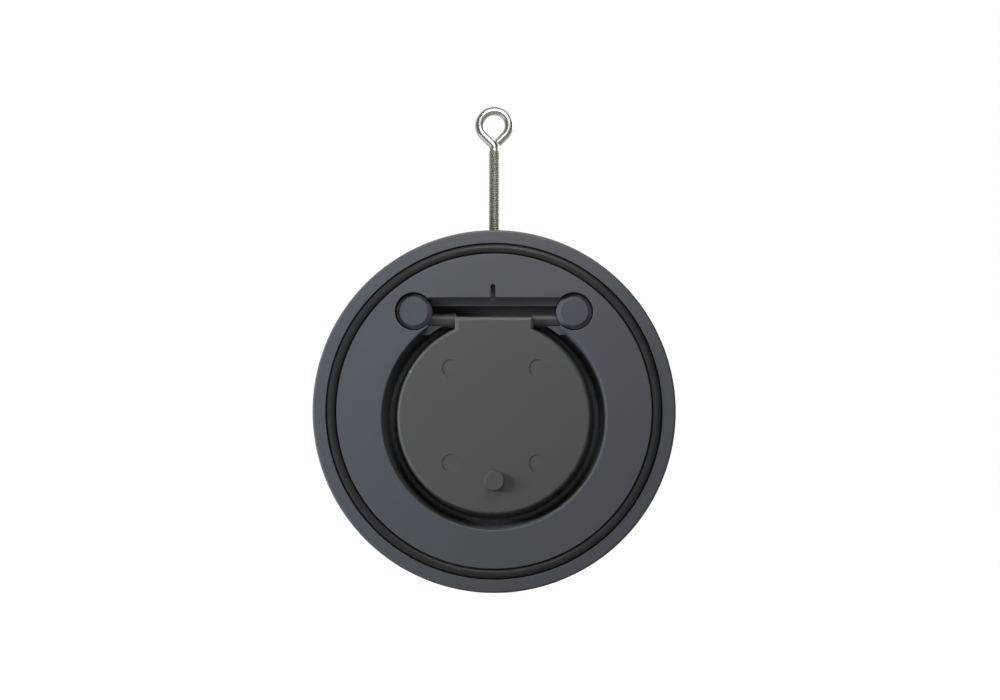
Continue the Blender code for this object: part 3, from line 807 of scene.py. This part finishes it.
# Rubber rings
# Three plain rings of moulded black rubber cord: one pressed into each sealing face of the body,
# and a smaller one in the back of the disc, which closes on the seat.
CORD_SEGMENTS = 28
RUBBER_COLOUR = (0.016, 0.017, 0.019, 1.0)
RUBBER_ROUGHNESS = 0.5
RUBBER_IOR = 1.5
RUBBER_GRAIN = 0.15
RUBBER_CLOUD_AMOUNT = 0.4
RUBBER_CLOUDS = 60.0
RUBBER_SPECK_SCALE = 260.0
RUBBER_SPECK_SHARE = 0.015
RUBBER_FILM = 0.01


def black_rubber(name, colour, roughness):
    """Smooth black rubber that has picked up a little dust."""
    made = bpy.data.materials.new(name)
    made.use_nodes = True
    tree = made.node_tree
    shader = tree.nodes["Principled BSDF"]
    skin = add_node(tree, "ShaderNodeGroup", node_tree=moulded_skin)
    skin.inputs["Colour"].default_value = colour
    skin.inputs["Cloud Amount"].default_value = RUBBER_CLOUD_AMOUNT
    skin.inputs["Cloud Scale"].default_value = RUBBER_CLOUDS
    skin.inputs["Roughness"].default_value = roughness
    dust = add_node(tree, "ShaderNodeGroup", node_tree=settled_dust)
    dust.inputs["Speck Scale"].default_value = RUBBER_SPECK_SCALE
    dust.inputs["Speck Share"].default_value = RUBBER_SPECK_SHARE
    dust.inputs["Film"].default_value = RUBBER_FILM
    dusty = mixed(tree, dust.outputs["Mask"], skin.outputs["Colour"], DUST_COLOUR)
    tree.links.new(dusty, shader.inputs["Base Color"])
    tree.links.new(skin.outputs["Roughness"], shader.inputs["Roughness"])
    bump = add_node(tree, "ShaderNodeBump", {
        "Height": skin.outputs["Height"], "Strength": RUBBER_GRAIN, "Distance": GRAIN_HEIGHT,
    })
    tree.links.new(bump.outputs["Normal"], shader.inputs["Normal"])
    shader.inputs["IOR"].default_value = RUBBER_IOR
    return made


rubber = black_rubber("seal_rubber", RUBBER_COLOUR, RUBBER_ROUGHNESS)
for node, body in (
    ("outlet_face_ring", "body"),
    ("inlet_face_ring", "body"),
    ("disc_seal_ring", "disc"),
):
    low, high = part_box(node)
    cord_radius = (high.y - low.y) / 2
    middle = (low + high) / 2
    section = arc((high.x - cord_radius, middle.y), cord_radius, 0.0, math.tau, CORD_SEGMENTS)[:-1]
    cord = turned(node, section, WHEEL_SEGMENTS, closed=True, offset=(0.0, 0.0, middle.z))
    ring = finished_piece(node + "_rubber", cord, rubber, 0.0)
    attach(ring, body)
    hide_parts(node)


# Hinge caps
# Two push-in plugs of the same PVC close the bearing pockets. Each has a low round boss on its
# face and an arch underneath that holds the trunnion down in its saddle.
CAP_LIP = 0.6 * MM
CAP_BOSS_SLOPE = 1.3 * MM
CAP_BOSS_HEIGHT = 1.2 * MM
CAP_EDGE_ROUND = 0.15 * MM
CAP_COLOUR = (0.074, 0.080, 0.092, 1.0)
CAP_CLOUDS = 60.0


def cap_mesh(side):
    """The plug turned about its own axis, with the trunnion's arch cut across it."""
    rim_y = cap_low.y + CAP_BOSS_HEIGHT
    boss_radius = cap_radius - CAP_LIP
    profile = [
        (boss_radius - CAP_BOSS_SLOPE, cap_low.y),
        (boss_radius, rim_y),
        (cap_radius - CAP_LIP / 2, rim_y),
        (cap_radius, rim_y + CAP_LIP / 2),
        (cap_radius, cap_high.y),
    ]
    plug = turned("cap_plug", profile, POCKET_SEGMENTS, offset=(side * cap_x, 0.0, cap_z))
    reach = cap_radius + OVERSHOOT
    vault = [(y + hinge.y, z + hinge.z) for y, z in arc((0, 0), saddle_radius, math.pi, math.pi / 2)]
    section = [
        (cap_high.y + OVERSHOOT, cap_z - reach),
        (hinge.y - saddle_radius, cap_z - reach),
        *vault,
        (cap_high.y + OVERSHOOT, hinge.z + saddle_radius),
    ]
    arch = prism("arch", [(side * cap_x - reach, y, z) for y, z in section], (2 * reach, 0, 0))
    return combined("cap_work", plug, [arch], "DIFFERENCE")


cap_pvc = satin_pvc("cap_pvc", CAP_COLOUR, PVC_ROUGHNESS, cloud_scale=CAP_CLOUDS)
for side, name in ((-1, "left"), (1, "right")):
    cap = finished_piece("hinge_cap_" + name + "_plug", cap_mesh(side), cap_pvc, CAP_EDGE_ROUND)
    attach(cap, "body")
    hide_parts("hinge_cap_" + name)


# Lifting eyebolt
# One length of zinc-plated steel wire: rolled M5 thread on a straight shank that screws into the
# rim, and an eye bent round at the top, whose end is cut square against the shank.
EYE_RADIUS = 6.7 * MM
EYE_WIRE_RADIUS = 1.95 * MM
EYE_BEND_RADIUS = 3.0 * MM
EYE_END_GAP = 0.25 * MM
EYE_SLANT = math.pi / 4
THREAD_PITCH = 0.8 * MM
THREAD_DEPTH = 0.32 * MM
THREAD_RUN_OUT = 1.6 * MM
WIRE_SEGMENTS = 32
THREAD_CREST = 0.06
THREAD_ROOT = 0.44
RING_SPACING = 0.1 * MM
BEND_STEPS = 12
LOOP_STEPS = 96
ZINC_PATCH_SCALE = 140.0
RIPPLE_SCALE = 320.0
RIPPLE_STRENGTH = 0.12
RIPPLE_HEIGHT = 0.1 * MM
EYE_ROUGHNESS = 0.24
THREAD_ROUGHNESS = 0.40
ZINC_COLOUR = (0.60, 0.59, 0.56, 1.0)
ZINC_SHADE = (0.50, 0.49, 0.46, 1.0)
THREAD_COLOUR = (0.48, 0.47, 0.39, 1.0)
ZINC_EDGE = (0.42, 0.42, 0.38, 1.0)


def eye_wire_tree():
    """A wire along a path whose straight foot, below a height, carries a rolled thread."""
    tree = bpy.data.node_groups.new("threaded_eye_wire", "GeometryNodeTree")
    add_sockets(tree, "INPUT", {
        "Path": ("Geometry", None),
        "Wire Radius": ("Float", 2.0 * MM),
        "Thread Radius": ("Float", 2.5 * MM),
        "Thread Depth": ("Float", 0.3 * MM),
        "Pitch": ("Float", 0.8 * MM),
        "Thread Top": ("Float", 0.1),
        "Run-out": ("Float", 1.5 * MM),
        "Ring Spacing": ("Float", 0.1 * MM),
        "Segments": ("Int", 32),
        "Material": ("Material", None),
    })
    add_sockets(tree, "OUTPUT", {"Wire": ("Geometry", None)})
    given = add_node(tree, "NodeGroupInput").outputs

    def maths(operation, *values):
        inputs = dict(enumerate(values))
        return add_node(tree, "ShaderNodeMath", inputs, operation=operation).outputs[0]

    height = add_node(tree, "ShaderNodeSeparateXYZ", {
        "Vector": add_node(tree, "GeometryNodeInputPosition").outputs[0],
    }).outputs
    plain = add_node(tree, "ShaderNodeMapRange", {
        "Value": height["Z"],
        "From Min": maths("SUBTRACT", given["Thread Top"], given["Run-out"]),
        "From Max": given["Thread Top"],
    }, interpolation_type="SMOOTHSTEP").outputs[0]
    path = add_node(tree, "GeometryNodeMeshToCurve", {"Mesh": given["Path"]})
    fine = add_node(tree, "GeometryNodeResampleCurve", {
        "Curve": path.outputs[0], "Length": given["Ring Spacing"],
    }, mode="LENGTH")
    section = add_node(tree, "GeometryNodeCurvePrimitiveCircle", {
        "Resolution": given["Segments"], "Radius": 1.0,
    })
    slimmer = maths("SUBTRACT", given["Wire Radius"], given["Thread Radius"])
    radius = maths("MULTIPLY_ADD", slimmer, plain, given["Thread Radius"])
    swept = add_node(tree, "GeometryNodeCurveToMesh", {
        "Curve": fine.outputs[0], "Profile Curve": section.outputs[0],
        "Scale": radius, "Fill Caps": True,
    })
    turn = maths("DIVIDE", maths("ARCTAN2", height["Y"], height["X"]), math.tau)
    phase = maths("SUBTRACT", maths("DIVIDE", height["Z"], given["Pitch"]), turn)
    flank = maths("PINGPONG", phase, 0.5)
    groove = add_node(tree, "ShaderNodeMapRange", {
        "Value": flank, "From Min": THREAD_CREST, "From Max": THREAD_ROOT,
    }).outputs[0]
    full_depth = maths("MULTIPLY", groove, given["Thread Depth"])
    depth = maths("MULTIPLY", full_depth, maths("SUBTRACT", 1.0, plain))
    shrink = maths("SUBTRACT", 0.0, maths("DIVIDE", depth, given["Thread Radius"]))
    offset = add_node(tree, "ShaderNodeCombineXYZ", {
        "X": maths("MULTIPLY", height["X"], shrink), "Y": maths("MULTIPLY", height["Y"], shrink),
    })
    cut = add_node(tree, "GeometryNodeSetPosition", {
        "Geometry": swept.outputs[0], "Offset": offset.outputs[0],
    })
    real = add_node(tree, "GeometryNodeRealizeInstances", {"Geometry": cut.outputs[0]})
    coated = add_node(tree, "GeometryNodeSetMaterial", {
        "Geometry": real.outputs[0], "Material": given["Material"],
    })
    add_node(tree, "NodeGroupOutput", {"Wire": coated.outputs[0]})
    return tree


def eye_path(centre_z):
    """Centre line of the bent wire: straight shank, a short bend, then most of a turn."""
    tangent = EYE_RADIUS * math.cos(EYE_SLANT)
    bend_reach = EYE_BEND_RADIUS * math.tan(EYE_SLANT / 2)
    bend_start = centre_z - 2 * tangent - bend_reach
    bend = [
        (x - EYE_BEND_RADIUS, z + bend_start)
        for x, z in arc((0, 0), EYE_BEND_RADIUS, 0.0, EYE_SLANT, BEND_STEPS)
    ]
    loop = arc((0.0, centre_z), EYE_RADIUS, math.pi + EYE_SLANT, -EYE_SLANT, LOOP_STEPS)
    slide = (2 * tangent - (EYE_WIRE_RADIUS + EYE_END_GAP) / math.cos(EYE_SLANT)) / 2
    end = (tangent - slide, centre_z - tangent - slide)
    return [(0.0, bolt_low.z), *bend, *loop, end], bend_start


def zinc_plating(name, thread_top_z):
    """Bright zinc on steel: smooth on the eye, and duller and yellower down in the thread."""
    made = bpy.data.materials.new(name)
    made.use_nodes = True
    tree = made.node_tree
    shader = tree.nodes["Principled BSDF"]
    place = add_node(tree, "ShaderNodeTexCoord").outputs["Object"]
    height = add_node(tree, "ShaderNodeSeparateXYZ", {"Vector": place}).outputs["Z"]
    threaded = add_node(tree, "ShaderNodeMapRange", {
        "Value": height,
        "From Min": thread_top_z + THREAD_RUN_OUT, "From Max": thread_top_z - THREAD_RUN_OUT,
    }).outputs[0]
    patches = add_node(tree, "ShaderNodeTexNoise", {
        "Vector": place, "Scale": ZINC_PATCH_SCALE, "Detail": 3.0,
    })
    plated = mixed(tree, patches.outputs[0], ZINC_COLOUR, ZINC_SHADE)
    tree.links.new(mixed(tree, threaded, plated, THREAD_COLOUR), shader.inputs["Base Color"])
    gloss = add_node(tree, "ShaderNodeMapRange", {
        "Value": threaded, "To Min": EYE_ROUGHNESS, "To Max": THREAD_ROUGHNESS,
    })
    tree.links.new(gloss.outputs[0], shader.inputs["Roughness"])
    ripple = add_node(tree, "ShaderNodeTexNoise", {
        "Vector": place, "Scale": RIPPLE_SCALE, "Detail": 1.0,
    })
    bump = add_node(tree, "ShaderNodeBump", {
        "Height": ripple.outputs[0], "Strength": RIPPLE_STRENGTH, "Distance": RIPPLE_HEIGHT,
    })
    tree.links.new(bump.outputs["Normal"], shader.inputs["Normal"])
    shader.inputs["Specular Tint"].default_value = ZINC_EDGE
    shader.inputs["Metallic"].default_value = 1.0
    return made


eye_centre_z = bolt_high.z - EYE_RADIUS - EYE_WIRE_RADIUS
path_points, thread_top = eye_path(eye_centre_z)
route = bpy.data.meshes.new("eye_route")
route.from_pydata(
    [(x, 0.0, z) for x, z in path_points],
    [(index, index + 1) for index in range(len(path_points) - 1)],
    [],
)
wire_work = working_object("eye_wire_work", route)
wire_nodes = wire_work.modifiers.new("threaded_eye_wire", "NODES")
wire_nodes.node_group = eye_wire_tree()
plating = zinc_plating("zinc_plating", thread_top)
set_inputs(wire_nodes, {
    "Wire Radius": EYE_WIRE_RADIUS,
    "Thread Radius": BOLT_RADIUS,
    "Thread Depth": THREAD_DEPTH,
    "Pitch": THREAD_PITCH,
    "Thread Top": thread_top,
    "Run-out": THREAD_RUN_OUT,
    "Ring Spacing": RING_SPACING,
    "Segments": WIRE_SEGMENTS,
    "Material": plating,
})
eyebolt = finished_piece("lifting_eyebolt_wire", closed_mesh(baked_mesh(wire_work)), plating, 0.0)
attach(eyebolt, "body")
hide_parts("lifting_eyebolt")


# Floor and light
# The valve stands on its rim on a pale floor. A window at the left rakes its face, a soft lamp hangs
# close above it, and weaker ones fill the front and the back. Behind the valve all is plain white.
FLOOR_HALF = 4.0
FLOOR_COLOUR = (0.35, 0.35, 0.35, 1.0)
GLOW_NEAR = 0.90
GLOW_FAR = 1.0
NEAR_FLOOR = 0.2
FAR_FLOOR = 0.7
BEHIND_BY = 0.25
FLOOR_ROUGHNESS = 0.9
SKY_FOOT = -0.1
SKY_TOP = 0.5
SKY_BEHIND = 0.35
ROOM_TINT = (0.92, 0.96, 1.0)
ROOM_LOW = 0.015
ROOM_HIGH = 0.05
ROOM_GLOSS = 0.18
WHITE = (1.0, 1.0, 1.0, 1.0)
LAMPS = (
    ("window_lamp", (-0.50, -0.20, 0.10), 0.20, 4.4, (0.82, 0.93, 1.0)),
    ("overhead_lamp", (0.02, -0.14, 0.21), 0.14, 0.29, (1.0, 0.98, 0.95)),
    ("front_lamp", (0.10, -0.60, 0.05), 0.40, 0.12, (1.0, 0.97, 0.92)),
    ("rear_lamp", (0.45, 0.60, 0.35), 0.40, 5.0, (1.0, 1.0, 1.0)),
)
# The low lamp would be mirrored as glare where the valve is seen along its face
SHEENLESS_LAMPS = ("window_lamp",)


def backdrop_rays(tree, behind):
    """1 for the camera's rays, and for glossy and transmitted ones that go behind the valve."""
    light_path = add_node(tree, "ShaderNodeLightPath").outputs
    bounced = add_node(tree, "ShaderNodeMath", {
        0: light_path["Is Glossy Ray"], 1: light_path["Is Transmission Ray"],
    }, operation="ADD", use_clamp=True)
    return add_node(tree, "ShaderNodeMath", {
        0: bounced.outputs[0], 1: behind, 2: light_path["Is Camera Ray"],
    }, operation="MULTIPLY_ADD", use_clamp=True).outputs[0]


floor_mesh = bpy.data.meshes.new("floor")
corners = [(-1, -1), (1, -1), (1, 1), (-1, 1)]
floor_mesh.from_pydata(
    [(x * FLOOR_HALF, y * FLOOR_HALF, body_low.z) for x, y in corners], [], [(0, 1, 2, 3)],
)
floor = working_object("floor", floor_mesh)
pale = bpy.data.materials.new("pale_floor")
pale.use_nodes = True
pale_tree = pale.node_tree
pale_shader = pale_tree.nodes["Principled BSDF"]
pale_shader.inputs["Base Color"].default_value = FLOOR_COLOUR
pale_shader.inputs["Roughness"].default_value = FLOOR_ROUGHNESS
pale_shader.inputs["Specular IOR Level"].default_value = 0.0
pale_shader.inputs["Emission Color"].default_value = WHITE
floor_place = add_node(pale_tree, "ShaderNodeTexCoord").outputs["Object"]
floor_depth = add_node(pale_tree, "ShaderNodeSeparateXYZ", {"Vector": floor_place}).outputs["Y"]
floor_behind = add_node(pale_tree, "ShaderNodeMapRange", {
    "Value": floor_depth, "From Min": 0.0, "From Max": BEHIND_BY, "To Min": ROOM_GLOSS,
}).outputs[0]
floor_reach = add_node(pale_tree, "ShaderNodeVectorMath", {0: floor_place}, operation="LENGTH")
glow = add_node(pale_tree, "ShaderNodeMapRange", {
    "Value": floor_reach.outputs["Value"],
    "From Min": NEAR_FLOOR, "From Max": FAR_FLOOR, "To Min": GLOW_NEAR, "To Max": GLOW_FAR,
}).outputs[0]
pale_tree.links.new(
    scaled(pale_tree, backdrop_rays(pale_tree, floor_behind), glow),
    pale_shader.inputs["Emission Strength"],
)
floor_mesh.materials.append(pale)

world = bpy.data.worlds.new("studio")
bpy.context.scene.world = world
world.use_nodes = True
sky = world.node_tree
heading = add_node(sky, "ShaderNodeSeparateXYZ", {
    "Vector": add_node(sky, "ShaderNodeTexCoord").outputs["Generated"],
})
overhead = add_node(sky, "ShaderNodeMapRange", {
    "Value": heading.outputs["Z"], "From Min": SKY_FOOT, "From Max": SKY_TOP,
}, interpolation_type="SMOOTHSTEP").outputs[0]
sky_behind = add_node(sky, "ShaderNodeMapRange", {
    "Value": heading.outputs["Y"], "From Min": 0.0, "From Max": SKY_BEHIND, "To Min": ROOM_GLOSS,
}).outputs[0]
room = mixed(
    sky, overhead,
    [part * ROOM_LOW for part in ROOM_TINT] + [1.0], [part * ROOM_HIGH for part in ROOM_TINT] + [1.0],
)
surround = mixed(sky, backdrop_rays(sky, sky_behind), room, WHITE)
sky.links.new(surround, sky.nodes["Background"].inputs["Color"])

for name, place, size, power, tint in LAMPS:
    lamp = bpy.data.objects.new(name, bpy.data.lights.new(name, "AREA"))
    lamp.data.size = size
    lamp.data.energy = power
    lamp.data.color = tint
    lamp.visible_camera = False
    lamp.visible_glossy = name not in SHEENLESS_LAMPS
    lamp.location = place
    lamp.rotation_euler = (-Vector(place)).to_track_quat("-Z", "Y").to_euler()
    bpy.context.scene.collection.objects.link(lamp)

bpy.context.scene.view_settings.view_transform = "Standard"
